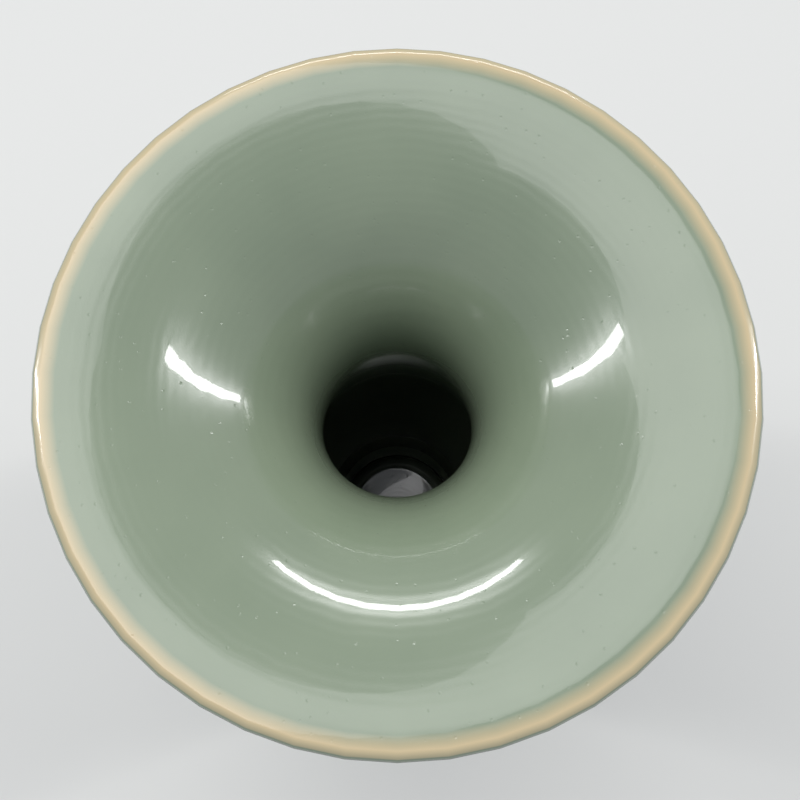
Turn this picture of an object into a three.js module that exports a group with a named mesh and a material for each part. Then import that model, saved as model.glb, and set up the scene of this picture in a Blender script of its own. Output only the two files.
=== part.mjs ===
// Phoenix-tail vase in celadon stoneware: a trumpet mouth on a ribbed neck, an ovoid body that
// tapers to a waist with carved upright petals, and a spreading foot.
// The potter throws it in four hollow sections, which stand one on another and are luted together.
// The bottom is a separate saucer of clay, dropped in from above on to a ledge inside the foot.
// Sizes are millimetres. +Z is up and the origin is the middle of the foot ring's resting face.
import * as THREE from "three";

// Heights of the thrown sections, from the foot up
const FOOT_HEIGHT = 32;
const LOWER_BODY_HEIGHT = 78;
const UPPER_BODY_HEIGHT = 34;
const NECK_HEIGHT = 86;

// Trumpet mouth and neck
const MOUTH_RADIUS = 60;
const LIP_THICKNESS = 3;
const LIP_RISE_DEGREES = 11;
const TRUMPET_REACH = 30;
const TRUMPET_CLIMB = 24;
const THROAT_RADIUS = 15.7;
const THROAT_DEPTH = 45;
const NECK_BORE_RADIUS = 21;
const NECK_LEAN = 1.7;
const NECK_WALL = 6;

// Body, whose two halves meet where it is widest
const BELLY_RADIUS = 51.5;
const BODY_WALL = 5.5;
const SHOULDER_RADIUS = 31;
const SHOULDER_DROP = 4;
const SHOULDER_RISE = 18;
const SHOULDER_BREADTH = 10;
const BELLY_DEPTH = 26;
const WAIST_RADIUS = 26.5;
const WAIST_RISE = 28;
const WAIST_SPREAD = 1.5;

// Spreading foot
const FOOT_RADIUS = 37;
const FOOT_CHAMFER = 1;
const FOOT_RING_WIDTH = 5;
const FOOT_RECESS = 9;
const FOOT_RECESS_TAPER = 1.5;
const FOOT_SKIRT = 8;
const FOOT_SKIRT_LEAN = 0.8;
const FOOT_STEM = 16;

// Bottom saucer and the ledge it rests on
const LEDGE_THICKNESS = 4;
const LEDGE_HOLE_RADIUS = 15;
const SAUCER_RADIUS = 19.5;
const SAUCER_CLEARANCE = 0.3;
const SAUCER_THICKNESS = 4;
const SAUCER_DISH = 1.5;
const SAUCER_BELLY = 1.2;
const SAUCER_BELLY_INSET = 2;

// Raised string ribs
const NECK_RIBS = 6;
const NECK_RIB_PITCH = 7;
const NECK_RIB_START = 10;
const RIB_HEIGHT = 0.9;
const RIB_WIDTH = 2.8;
const COLLAR_RIB_DROP = 2.2;
const WAIST_RIB_DROP = 2.6;

// Carved upright petals on the lower body
const PETALS = 20;
const PETAL_RELIEF = 1.3;
const PETAL_BAND_START = 1.5;
const PETAL_BAND_HEIGHT = 50;
const PETAL_TIP_HEIGHT = 9;
const PETAL_EDGE = 3;

// How finely round shapes are cut into facets
const ROUND_SEGMENTS = 48;
const PETAL_SEGMENTS = 4;

// Places that follow from the sizes above
const UPPER_BODY_BASE = FOOT_HEIGHT + LOWER_BODY_HEIGHT;
const NECK_BASE = UPPER_BODY_BASE + UPPER_BODY_HEIGHT;
const NECK_OUTER_RADIUS = NECK_BORE_RADIUS + NECK_WALL;
const LEDGE_TOP = FOOT_RECESS + LEDGE_THICKNESS;
const SAUCER_POCKET_RADIUS = SAUCER_RADIUS + SAUCER_CLEARANCE;

const at = (radius, height) => new THREE.Vector2(radius, height);

// Points along a cubic curve from start to end, drawn out by its two handles
function curve(start, handleA, handleB, end, steps) {
  return new THREE.CubicBezierCurve(start, handleA, handleB, end).getPoints(steps);
}

// A profile moved sideways by its wall thickness, which may change from its first point to its last.
// side is 1 towards the right of the way the profile runs, and -1 towards its left.
function offset(profile, startWall, endWall, side) {
  return profile.map((point, i) => {
    const before = profile[Math.max(i - 1, 0)];
    const after = profile[Math.min(i + 1, profile.length - 1)];
    const along = after.clone().sub(before).normalize();
    const share = i / (profile.length - 1);
    const wall = startWall + (endWall - startWall) * share;
    return at(point.x + side * wall * along.y, point.y - side * wall * along.x);
  });
}

// The radius of an upward-running profile at a height
function radiusAt(profile, height) {
  const next = profile.findIndex((point) => point.y >= height);
  const upper = profile[Math.max(next, 1)];
  const lower = profile[Math.max(next, 1) - 1];
  return lower.x + ((upper.x - lower.x) * (height - lower.y)) / (upper.y - lower.y);
}

// An upward-running outer profile with raised string ribs about the given heights
function withRibs(profile, middles) {
  const clear = (point) => middles.every((middle) => Math.abs(point.y - middle) > RIB_WIDTH / 2);
  const ribs = middles.flatMap((middle) =>
    [-0.5, 0, 0.5].map((share) => {
      const height = middle + share * RIB_WIDTH;
      return at(radiusAt(profile, height) + (share ? 0 : RIB_HEIGHT), height);
    }),
  );
  return [...profile.filter(clear), ...ribs].sort((a, b) => a.y - b.y);
}

// A closed profile turned about the vase's axis
function turned(profile, base, segments = ROUND_SEGMENTS) {
  const closed = profile[0].x === 0 ? profile : [...profile, profile[0]];
  return new THREE.LatheGeometry(closed, segments).rotateX(Math.PI / 2).translate(0, 0, base);
}

// Neck and trumpet mouth, thrown as one section

function neckInnerWall() {
  const lipRise = THREE.MathUtils.degToRad(LIP_RISE_DEGREES);
  const halfLip = LIP_THICKNESS / 2;
  const throat = at(THROAT_RADIUS, NECK_HEIGHT - THROAT_DEPTH);
  const lip = at(
    MOUTH_RADIUS - halfLip * (1 + Math.sin(lipRise)),
    NECK_HEIGHT - halfLip * (1 - Math.cos(lipRise)),
  );
  const third = throat.y / 3;
  const neck = curve(
    at(NECK_BORE_RADIUS, 0),
    at(NECK_BORE_RADIUS - NECK_LEAN, third),
    at(THROAT_RADIUS, 2 * third),
    throat,
    6,
  );
  const trumpet = curve(
    throat,
    at(throat.x, throat.y + TRUMPET_CLIMB),
    at(lip.x - TRUMPET_REACH, lip.y - TRUMPET_REACH * Math.tan(lipRise)),
    lip,
    14,
  );
  return { neck, trumpet };
}

// The rounded lip, from the top of the trumpet over to its underside
function lipRound(inner, outer) {
  const middle = inner.clone().add(outer).multiplyScalar(0.5);
  return [0.25, 0.5, 0.75].map((share) =>
    inner.clone().rotateAround(middle, -Math.PI * share),
  );
}

function neckGeometry() {
  const { neck, trumpet } = neckInnerWall();
  const neckOutside = offset(neck, NECK_WALL, NECK_WALL, 1);
  neckOutside[0].set(NECK_OUTER_RADIUS, 0);
  const trumpetOutside = offset(trumpet, NECK_WALL, LIP_THICKNESS, 1);
  const ribs = Array.from({ length: NECK_RIBS }, (_, i) => NECK_RIB_START + i * NECK_RIB_PITCH);
  const outside = withRibs([...neckOutside.slice(0, -1), ...trumpetOutside], ribs);
  const lip = lipRound(trumpet.at(-1), trumpetOutside.at(-1));
  const inside = [...neck.slice(0, -1), ...trumpet];
  return turned([...outside, ...lip.reverse(), ...inside.reverse()], NECK_BASE);
}

// Upper half of the body: belly, shoulder and the collar that the neck stands on

function upperBodyGeometry() {
  const shoulderTop = at(SHOULDER_RADIUS, UPPER_BODY_HEIGHT - SHOULDER_DROP);
  const shoulder = curve(
    at(BELLY_RADIUS, 0),
    at(BELLY_RADIUS, SHOULDER_RISE),
    at(SHOULDER_RADIUS + SHOULDER_BREADTH, shoulderTop.y - 1.4),
    shoulderTop,
    10,
  );
  const collar = curve(
    shoulderTop,
    at(NECK_OUTER_RADIUS + 1, shoulderTop.y + 0.5),
    at(NECK_OUTER_RADIUS, shoulderTop.y + 1.5),
    at(NECK_OUTER_RADIUS, UPPER_BODY_HEIGHT),
    4,
  );
  const outside = [...shoulder.slice(0, -1), ...collar];
  const inside = offset(outside, BODY_WALL, NECK_WALL, -1);
  inside[0].set(BELLY_RADIUS - BODY_WALL, 0);
  inside.at(-1).set(NECK_BORE_RADIUS, UPPER_BODY_HEIGHT);
  return turned([...outside, ...inside.reverse()], UPPER_BODY_BASE);
}

// Lower half of the body, with a band of carved petals standing on the waist

// How far the carving stands out at an angle round the axis and a height above the waist
function petalRelief(angle, height) {
  const across = (angle * PETALS) / (2 * Math.PI);
  const fromMiddle = Math.abs(across - Math.round(across)) * 2;
  const tip = PETAL_BAND_START + PETAL_BAND_HEIGHT - PETAL_TIP_HEIGHT * fromMiddle ** 2;
  const topFade = THREE.MathUtils.smoothstep(tip - height, 0, PETAL_EDGE);
  const footFade = THREE.MathUtils.smoothstep(height, 0, PETAL_BAND_START);
  return PETAL_RELIEF * Math.sqrt(1 - fromMiddle ** 2) * topFade * footFade;
}

function lowerBodyGeometry() {
  const outside = curve(
    at(WAIST_RADIUS, 0),
    at(WAIST_RADIUS + WAIST_SPREAD, WAIST_RISE),
    at(BELLY_RADIUS, LOWER_BODY_HEIGHT - BELLY_DEPTH),
    at(BELLY_RADIUS, LOWER_BODY_HEIGHT),
    13,
  );
  const inside = offset(outside.filter((_, i) => i % 2 === 0 || i === 13), BODY_WALL, BODY_WALL, -1);
  inside[0].set(WAIST_RADIUS - BODY_WALL, 0);
  inside.at(-1).set(BELLY_RADIUS - BODY_WALL, LOWER_BODY_HEIGHT);
  const segments = PETALS * PETAL_SEGMENTS;
  const wall = turned([...outside, ...inside.reverse()], 0, segments);
  const position = wall.getAttribute("position");
  for (let i = 0; i < position.count; i += 1) {
    const [x, y, z] = [position.getX(i), position.getY(i), position.getZ(i)];
    const radius = Math.hypot(x, y);
    if (radius < radiusAt(outside, z) - BODY_WALL / 2) continue;
    const grown = 1 + petalRelief(Math.atan2(y, x), z) / radius;
    position.setXY(i, x * grown, y * grown);
  }
  return wall.translate(0, 0, FOOT_HEIGHT);
}

// Spreading foot, with the recess below and the ledge for the saucer inside

function footGeometry() {
  const outside = curve(
    at(FOOT_RADIUS, FOOT_CHAMFER),
    at(FOOT_RADIUS - FOOT_SKIRT_LEAN, FOOT_CHAMFER + FOOT_SKIRT),
    at(WAIST_RADIUS, FOOT_HEIGHT - FOOT_STEM),
    at(WAIST_RADIUS, FOOT_HEIGHT),
    10,
  );
  const ringOuter = FOOT_RADIUS - FOOT_CHAMFER;
  const ringInner = ringOuter - FOOT_RING_WIDTH;
  return turned(
    [
      at(ringInner, 0),
      at(ringOuter, 0),
      ...withRibs(outside, [FOOT_HEIGHT - WAIST_RIB_DROP]),
      at(WAIST_RADIUS - BODY_WALL, FOOT_HEIGHT),
      at(SAUCER_POCKET_RADIUS, LEDGE_TOP + SAUCER_THICKNESS),
      at(SAUCER_POCKET_RADIUS, LEDGE_TOP),
      at(LEDGE_HOLE_RADIUS, LEDGE_TOP),
      at(LEDGE_HOLE_RADIUS, FOOT_RECESS),
      at(ringInner - 2 * FOOT_RECESS_TAPER, FOOT_RECESS),
      at(ringInner - FOOT_RECESS_TAPER, FOOT_RECESS - FOOT_RECESS_TAPER),
    ],
    0,
  );
}

// Bottom saucer, dished above and swelling down through the ledge's hole

function saucerGeometry() {
  const top = SAUCER_THICKNESS;
  const swell = LEDGE_HOLE_RADIUS - SAUCER_BELLY_INSET;
  return turned(
    [
      at(0, -SAUCER_BELLY),
      at(swell / 2, -SAUCER_BELLY * 0.75),
      at(swell, 0),
      at(SAUCER_RADIUS, 0),
      at(SAUCER_RADIUS, top),
      at(SAUCER_RADIUS * 0.75, top - SAUCER_DISH * 0.6),
      at(SAUCER_RADIUS * 0.4, top - SAUCER_DISH * 0.95),
      at(0, top - SAUCER_DISH),
    ],
    LEDGE_TOP,
  );
}

const glaze = new THREE.MeshStandardMaterial({ color: 0x84987f, roughness: 0.15, metalness: 0 });
const clay = new THREE.MeshStandardMaterial({ color: 0xb5793f, roughness: 0.85, metalness: 0 });

function piece(name, geometry, material) {
  const mesh = new THREE.Mesh(geometry, material);
  mesh.name = name;
  return mesh;
}

const vase = new THREE.Group();
vase.add(
  piece("foot", footGeometry(), clay),
  piece("bottom_saucer", saucerGeometry(), glaze),
  piece("lower_body", lowerBodyGeometry(), glaze),
  piece("upper_body", upperBodyGeometry(), glaze),
  piece("neck_and_mouth", neckGeometry(), glaze),
);

export default vase;
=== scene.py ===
# Phoenix-tail vase in celadon stoneware, seen into its trumpet mouth. Lengths are metres.
import math

import bmesh
import bpy
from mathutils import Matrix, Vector


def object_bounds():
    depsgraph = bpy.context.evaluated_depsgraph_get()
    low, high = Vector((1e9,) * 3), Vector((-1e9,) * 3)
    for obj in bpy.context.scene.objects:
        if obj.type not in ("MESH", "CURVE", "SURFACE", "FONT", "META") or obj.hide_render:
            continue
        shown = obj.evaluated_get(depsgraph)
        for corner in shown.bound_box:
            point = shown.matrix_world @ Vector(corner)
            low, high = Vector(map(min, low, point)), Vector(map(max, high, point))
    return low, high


bpy.ops.wm.read_factory_settings(use_empty=True)
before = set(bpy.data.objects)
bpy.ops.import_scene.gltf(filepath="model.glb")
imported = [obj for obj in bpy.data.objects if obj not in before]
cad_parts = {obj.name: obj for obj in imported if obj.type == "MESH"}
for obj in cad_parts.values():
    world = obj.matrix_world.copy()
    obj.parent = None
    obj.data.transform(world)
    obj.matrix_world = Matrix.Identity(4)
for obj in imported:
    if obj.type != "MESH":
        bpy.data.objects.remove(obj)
cad_low, cad_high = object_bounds()
scene = bpy.context.scene
scene.view_settings.view_transform = "Standard"

# Celadon glaze
# A feldspar glaze with a little iron, fired in smoke to grey-green. The real glaze pools darker in
# hollows, which this material leaves out; it has cloudy patches, fine pinholes and faint throwing
# rings from the clay below.
GLAZE_LIGHT = (0.22, 0.265, 0.185, 1)
GLAZE_DARK = (0.13, 0.17, 0.115, 1)
LIP_TAN = (0.46, 0.37, 0.22, 1)
CLOUD_SCALE = 28
PINHOLE_SCALE = 420
RING_SCALE = 190
LIP_HEIGHT = 0.0005


def socket(group, name, direction, kind):
    group.interface.new_socket(name=name, in_out=direction, socket_type=kind)


def link(tree, start, end):
    tree.links.new(start, end)


def clay_surface_group():
    group = bpy.data.node_groups.new("clay_surface", "ShaderNodeTree")
    socket(group, "Light", "INPUT", "NodeSocketColor")
    socket(group, "Dark", "INPUT", "NodeSocketColor")
    socket(group, "Color", "OUTPUT", "NodeSocketColor")
    socket(group, "Height", "OUTPUT", "NodeSocketFloat")
    add = group.nodes.new
    given, out = add("NodeGroupInput"), add("NodeGroupOutput")
    place = add("ShaderNodeTexCoord")
    cloud = add("ShaderNodeTexNoise")
    cloud.inputs["Scale"].default_value = CLOUD_SCALE
    cloud.inputs["Detail"].default_value = 6
    blend = add("ShaderNodeMix")
    blend.data_type = "RGBA"
    pinholes = add("ShaderNodeTexVoronoi")
    pinholes.inputs["Scale"].default_value = PINHOLE_SCALE
    rings = add("ShaderNodeTexWave")
    rings.wave_type = "RINGS"
    rings.rings_direction = "Z"
    rings.inputs["Scale"].default_value = RING_SCALE
    rings.inputs["Distortion"].default_value = 2
    hole = add("ShaderNodeMapRange")
    hole.inputs["From Max"].default_value = 0.12
    relief = add("ShaderNodeMath")
    relief.operation = "MULTIPLY_ADD"
    relief.inputs[1].default_value = 0.15
    for texture in (cloud, pinholes, rings):
        link(group, place.outputs["Object"], texture.inputs["Vector"])
    link(group, cloud.outputs["Fac"], blend.inputs["Factor"])
    link(group, given.outputs["Dark"], blend.inputs["A"])
    link(group, given.outputs["Light"], blend.inputs["B"])
    link(group, pinholes.outputs["Distance"], hole.inputs["Value"])
    link(group, rings.outputs["Fac"], relief.inputs[0])
    link(group, hole.outputs["Result"], relief.inputs[2])
    link(group, blend.outputs["Result"], out.inputs["Color"])
    link(group, relief.outputs["Value"], out.inputs["Height"])
    return group


clay_surface = clay_surface_group()


def ceramic(name, light, dark, roughness, coat, bump):
    material = bpy.data.materials.new(name)
    material.use_nodes = True
    tree = material.node_tree
    shader = tree.nodes["Principled BSDF"]
    surface = tree.nodes.new("ShaderNodeGroup")
    surface.node_tree = clay_surface
    surface.inputs["Light"].default_value = light
    surface.inputs["Dark"].default_value = dark
    relief = tree.nodes.new("ShaderNodeBump")
    relief.inputs["Strength"].default_value = bump
    relief.inputs["Distance"].default_value = 0.0002
    link(tree, surface.outputs["Color"], shader.inputs["Base Color"])
    link(tree, surface.outputs["Height"], relief.inputs["Height"])
    link(tree, relief.outputs["Normal"], shader.inputs["Normal"])
    shader.inputs["Roughness"].default_value = roughness
    shader.inputs["Coat Weight"].default_value = coat
    return material


glaze = ceramic("celadon_glaze", GLAZE_LIGHT, GLAZE_DARK, 0.16, 0.5, 0.25)

# Lip of the mouth
# The glaze runs off the lip as it melts and leaves it thin, so the clay shows through as a tan band.
lip_glaze = ceramic("lip_glaze", GLAZE_LIGHT, GLAZE_DARK, 0.2, 0.5, 0.25)
tree = lip_glaze.node_tree
place = tree.nodes.new("ShaderNodeTexCoord")
axes = tree.nodes.new("ShaderNodeSeparateXYZ")
band = tree.nodes.new("ShaderNodeMapRange")
band.inputs["From Min"].default_value = cad_high.z - LIP_HEIGHT
band.inputs["From Max"].default_value = cad_high.z
thin = tree.nodes.new("ShaderNodeMix")
thin.data_type = "RGBA"
thin.inputs["B"].default_value = LIP_TAN
shader = tree.nodes["Principled BSDF"]
covered = shader.inputs["Base Color"].links[0].from_socket
link(tree, place.outputs["Object"], axes.inputs["Vector"])
link(tree, axes.outputs["Z"], band.inputs["Value"])
link(tree, band.outputs["Result"], thin.inputs["Factor"])
link(tree, covered, thin.inputs["A"])
link(tree, thin.outputs["Result"], shader.inputs["Base Color"])

# Foot ring
# Bare clay where the vase stood in the kiln. It burns orange-brown and stays matt.
CLAY_LIGHT = (0.48, 0.24, 0.09, 1)
CLAY_DARK = (0.28, 0.12, 0.04, 1)
RING_GLAZE_START = 0.004
clay = ceramic("burnt_clay", CLAY_LIGHT, CLAY_DARK, 0.85, 0, 0.5)

# The five thrown pieces
# Each keeps the solid it was thrown as. Only the foot has bare clay, below where its glaze ends.
for name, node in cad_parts.items():
    node.data.materials.clear()
    node.data.materials.append(lip_glaze if name == "neck_and_mouth" else glaze)
    if "custom_normal" in node.data.attributes:
        node.data.attributes.remove(node.data.attributes["custom_normal"])
    node.modifiers.new("weld", "WELD").merge_threshold = 1e-6
    node.data.shade_smooth()
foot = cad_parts["foot"].data
foot.materials.append(clay)
for face in foot.polygons:
    face.material_index = int(face.center.z < RING_GLAZE_START)

# Floor
# A plain pale sheet below the vase, not part of the object.
FLOOR_HALF = 3


def plain(name, color):
    material = bpy.data.materials.new(name)
    material.use_nodes = True
    material.node_tree.nodes["Principled BSDF"].inputs["Base Color"].default_value = color
    material.node_tree.nodes["Principled BSDF"].inputs["Roughness"].default_value = 0.9
    return material


floor_mesh = bpy.data.meshes.new("floor")
grid = bmesh.new()
bmesh.ops.create_grid(grid, x_segments=1, y_segments=1, size=FLOOR_HALF)
grid.to_mesh(floor_mesh)
grid.free()
floor_mesh.materials.append(plain("floor_paper", (0.6, 0.6, 0.58, 1)))
floor = bpy.data.objects.new("floor", floor_mesh)
floor.location.z = cad_low.z - 0.0002
scene.collection.objects.link(floor)

# Light
# Soft studio light: a pale surround, and a strip lamp at each side and one behind, whose
# reflections give the long thin highlights round the inside of the mouth.
world = bpy.data.worlds.new("studio")
world.use_nodes = True
world.node_tree.nodes["Background"].inputs["Color"].default_value = (0.9, 0.93, 1, 1)
world.node_tree.nodes["Background"].inputs["Strength"].default_value = 0.6
scene.world = world
mouth = Vector((0, 0, cad_high.z))
for name, place, width, height, power in (
    ("left_strip", (-0.5, 0.1, 0.35), 0.03, 0.5, 1.6),
    ("right_strip", (0.5, 0.15, 0.35), 0.03, 0.5, 1.6),
    ("back_strip", (0, 0.55, 0.4), 0.5, 0.03, 1.6),
    ("soft_top", (-0.2, 0.2, 0.9), 0.6, 0.6, 3),
):
    light = bpy.data.lights.new(name, "AREA")
    light.shape = "RECTANGLE"
    light.size, light.size_y, light.energy = width, height, power
    lamp = bpy.data.objects.new(name, light)
    lamp.location = mouth + Vector(place)
    lamp.rotation_euler = (-Vector(place)).to_track_quat("-Z", "Y").to_euler()
    scene.collection.objects.link(lamp)

# Camera
# It looks steeply down into the mouth, from a little on the near side of the axis.
CAMERA_ELEVATION = math.radians(76)
CAMERA_DISTANCE = 0.1576
CAMERA_FIELD = math.radians(45)
CAMERA_SHIFT = (0.0035, -0.0357)
back = Vector((0, -math.cos(CAMERA_ELEVATION), math.sin(CAMERA_ELEVATION)))
camera = bpy.data.cameras.new("camera")
camera.lens = camera.sensor_width / 2 / math.tan(CAMERA_FIELD / 2)
camera.shift_x, camera.shift_y = CAMERA_SHIFT
camera.clip_start = 0.01
view = bpy.data.objects.new("camera", camera)
view.location = mouth + back * CAMERA_DISTANCE
view.rotation_euler = (-back).to_track_quat("-Z", "Y").to_euler()
scene.collection.objects.link(view)
scene.camera = view
